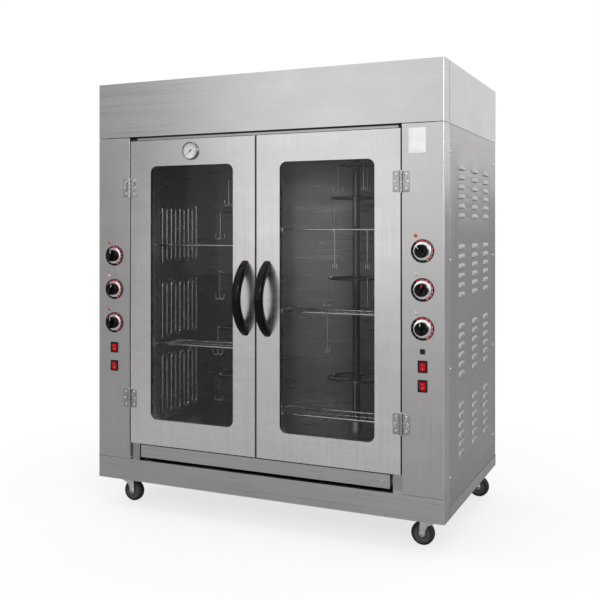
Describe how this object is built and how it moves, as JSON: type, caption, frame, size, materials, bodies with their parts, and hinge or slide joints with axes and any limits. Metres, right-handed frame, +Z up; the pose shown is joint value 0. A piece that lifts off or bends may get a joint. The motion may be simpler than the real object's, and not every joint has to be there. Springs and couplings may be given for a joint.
{
  "type": "electric skewer grill",
  "caption": "Upright stainless roasting cabinet on casters with two windowed doors, turning rings of hooks, side heaters, dials, rocker switches and a low drip drawer.",
  "frame": {"origin": "on the floor, under the middle of the part's bounding box", "axes": "+Z up, -Y towards the doors, +X to the right seen from the front"},
  "size_m": [1.07, 0.6999, 1.253],
  "materials": {
    "brushed": "brushed",
    "frame_steel": "dull",
    "liner": "dull",
    "bright": "polished",
    "heater": "satin",
    "motor": "satin",
    "switch_body": "matt",
    "black_satin": "satin",
    "black_gloss": "gloss",
    "red_gloss": "gloss",
    "glass": "clear",
    "zinc": "zinc plated",
    "tyre": "matt"
  },
  "bodies": {
    "cabinet": {"plinth": "brushed", "inner_frame": "frame_steel", "column_left": "brushed", "column_right": "brushed", "hood": "brushed", "side_panel_left": "brushed", "side_panel_right": "brushed", "rear_panel": "brushed", "oven_liner": "liner", "heaters": "heater", "dial_rings": "black_satin", "heater_mounts": "liner", "gearmotors": "motor", "shaft_bearings": "frame_steel", "drawer_rails": "frame_steel", "thermostats": "switch_body", "switch_housings": "black_satin", "indicator_lamps": "red_gloss", "cable_gland": "black_satin", "hinge_leaves_fixed": "bright", "caster_plates": "zinc", "screws": "bright", "rack_posts": "bright", "wire_racks": "bright", "rack_hooks": "bright", "door_catches": "black_satin"},
    "left_door": {"door_left_frame": "brushed", "door_left_glass": "glass", "door_left_handle": "black_gloss", "door_left_hinge_leaves": "bright", "thermometer_case": "bright"},
    "right_door": {"door_right_frame": "brushed", "door_right_glass": "glass", "door_right_handle": "black_gloss", "door_right_hinge_leaves": "bright"},
    "thermometer_pointer": {"thermometer_needle": "black_satin"},
    "drawer": {"drawer_front": "brushed", "drip_pan": "brushed"},
    "left_rotor": {"rotor_left": "bright", "rotor_left_hooks": "bright"},
    "right_rotor": {"rotor_right": "bright", "rotor_right_hooks": "bright"},
    "left_top_knob": {"knob_left_top": "black_gloss"},
    "left_middle_knob": {"knob_left_middle": "black_gloss"},
    "left_bottom_knob": {"knob_left_bottom": "black_gloss"},
    "left_upper_rocker": {"rocker_left_upper": "red_gloss"},
    "left_lower_rocker": {"rocker_left_lower": "red_gloss"},
    "right_top_knob": {"knob_right_top": "black_gloss"},
    "right_middle_knob": {"knob_right_middle": "black_gloss"},
    "right_bottom_knob": {"knob_right_bottom": "black_gloss"},
    "right_upper_rocker": {"rocker_right_upper": "red_gloss"},
    "right_lower_rocker": {"rocker_right_lower": "red_gloss"},
    "front_left_fork": {"fork_front_left": "zinc"},
    "front_left_wheel": {"wheel_front_left": "tyre"},
    "front_right_fork": {"fork_front_right": "zinc"},
    "front_right_wheel": {"wheel_front_right": "tyre"},
    "rear_left_fork": {"fork_rear_left": "zinc"},
    "rear_left_wheel": {"wheel_rear_left": "tyre"},
    "rear_right_fork": {"fork_rear_right": "zinc"},
    "rear_right_wheel": {"wheel_rear_right": "tyre"}
  },
  "joints": [
    {"name": "left_door_swing", "type": "hinge", "parent": "cabinet", "child": "left_door", "pos_m": [-0.416, -0.2927, 0], "axis": [0, 0, 1], "range_deg": [-110, 0]},
    {"name": "right_door_swing", "type": "hinge", "parent": "cabinet", "child": "right_door", "pos_m": [0.416, -0.2927, 0], "axis": [0, 0, 1], "range_deg": [0, 110]},
    {"name": "thermometer_pointer_turn", "type": "hinge", "parent": "left_door", "child": "thermometer_pointer", "pos_m": [-0.208, -0.288, 1.045], "axis": [0, 1, 0], "range_deg": [0, 254]},
    {"name": "drawer_slide", "type": "slide", "parent": "cabinet", "child": "drawer", "axis": [0, -1, 0], "range_m": [0, 0.35]},
    {"name": "left_rotor_turn", "type": "hinge", "parent": "cabinet", "child": "left_rotor", "pos_m": [-0.186, -0.001, 0], "axis": [0, 0, 1], "continuous": true},
    {"name": "right_rotor_turn", "type": "hinge", "parent": "cabinet", "child": "right_rotor", "pos_m": [0.186, -0.001, 0], "axis": [0, 0, 1], "continuous": true},
    {"name": "left_top_knob_turn", "type": "hinge", "parent": "cabinet", "child": "left_top_knob", "pos_m": [-0.472, -0.288, 0.744], "axis": [0, 1, 0], "range_deg": [-55, 215]},
    {"name": "left_middle_knob_turn", "type": "hinge", "parent": "cabinet", "child": "left_middle_knob", "pos_m": [-0.472, -0.288, 0.645], "axis": [0, 1, 0], "range_deg": [-70, 200]},
    {"name": "left_bottom_knob_turn", "type": "hinge", "parent": "cabinet", "child": "left_bottom_knob", "pos_m": [-0.472, -0.288, 0.546], "axis": [0, 1, 0], "range_deg": [-50, 220]},
    {"name": "left_upper_rocker_tip", "type": "hinge", "parent": "cabinet", "child": "left_upper_rocker", "pos_m": [-0.472, -0.2865, 0.472], "axis": [1, 0, 0], "range_deg": [-14, 0]},
    {"name": "left_lower_rocker_tip", "type": "hinge", "parent": "cabinet", "child": "left_lower_rocker", "pos_m": [-0.472, -0.2865, 0.418], "axis": [1, 0, 0], "range_deg": [-14, 0]},
    {"name": "right_top_knob_turn", "type": "hinge", "parent": "cabinet", "child": "right_top_knob", "pos_m": [0.472, -0.288, 0.767], "axis": [0, 1, 0], "range_deg": [-5, 265]},
    {"name": "right_middle_knob_turn", "type": "hinge", "parent": "cabinet", "child": "right_middle_knob", "pos_m": [0.472, -0.288, 0.669], "axis": [0, 1, 0], "range_deg": [-65, 205]},
    {"name": "right_bottom_knob_turn", "type": "hinge", "parent": "cabinet", "child": "right_bottom_knob", "pos_m": [0.472, -0.288, 0.571], "axis": [0, 1, 0], "range_deg": [-45, 225]},
    {"name": "right_upper_rocker_tip", "type": "hinge", "parent": "cabinet", "child": "right_upper_rocker", "pos_m": [0.472, -0.2865, 0.475], "axis": [1, 0, 0], "range_deg": [-14, 0]},
    {"name": "right_lower_rocker_tip", "type": "hinge", "parent": "cabinet", "child": "right_lower_rocker", "pos_m": [0.472, -0.2865, 0.426], "axis": [1, 0, 0], "range_deg": [-14, 0]},
    {"name": "front_left_fork_swivel", "type": "hinge", "parent": "cabinet", "child": "front_left_fork", "pos_m": [-0.472, -0.214, 0], "axis": [0, 0, 1], "continuous": true},
    {"name": "front_left_wheel_spin", "type": "hinge", "parent": "front_left_fork", "child": "front_left_wheel", "pos_m": [-0.452, -0.214, 0.031], "axis": [0, 1, 0], "continuous": true},
    {"name": "front_right_fork_swivel", "type": "hinge", "parent": "cabinet", "child": "front_right_fork", "pos_m": [0.472, -0.214, 0], "axis": [0, 0, 1], "continuous": true},
    {"name": "front_right_wheel_spin", "type": "hinge", "parent": "front_right_fork", "child": "front_right_wheel", "pos_m": [0.452, -0.214, 0.031], "axis": [0, 1, 0], "continuous": true},
    {"name": "rear_left_fork_swivel", "type": "hinge", "parent": "cabinet", "child": "rear_left_fork", "pos_m": [-0.472, 0.256, 0], "axis": [0, 0, 1], "continuous": true},
    {"name": "rear_left_wheel_spin", "type": "hinge", "parent": "rear_left_fork", "child": "rear_left_wheel", "pos_m": [-0.452, 0.256, 0.031], "axis": [0, 1, 0], "continuous": true},
    {"name": "rear_right_fork_swivel", "type": "hinge", "parent": "cabinet", "child": "rear_right_fork", "pos_m": [0.472, 0.256, 0], "axis": [0, 0, 1], "continuous": true},
    {"name": "rear_right_wheel_spin", "type": "hinge", "parent": "rear_right_fork", "child": "rear_right_wheel", "pos_m": [0.492, 0.256, 0.031], "axis": [0, 1, 0], "continuous": true}
  ]
}
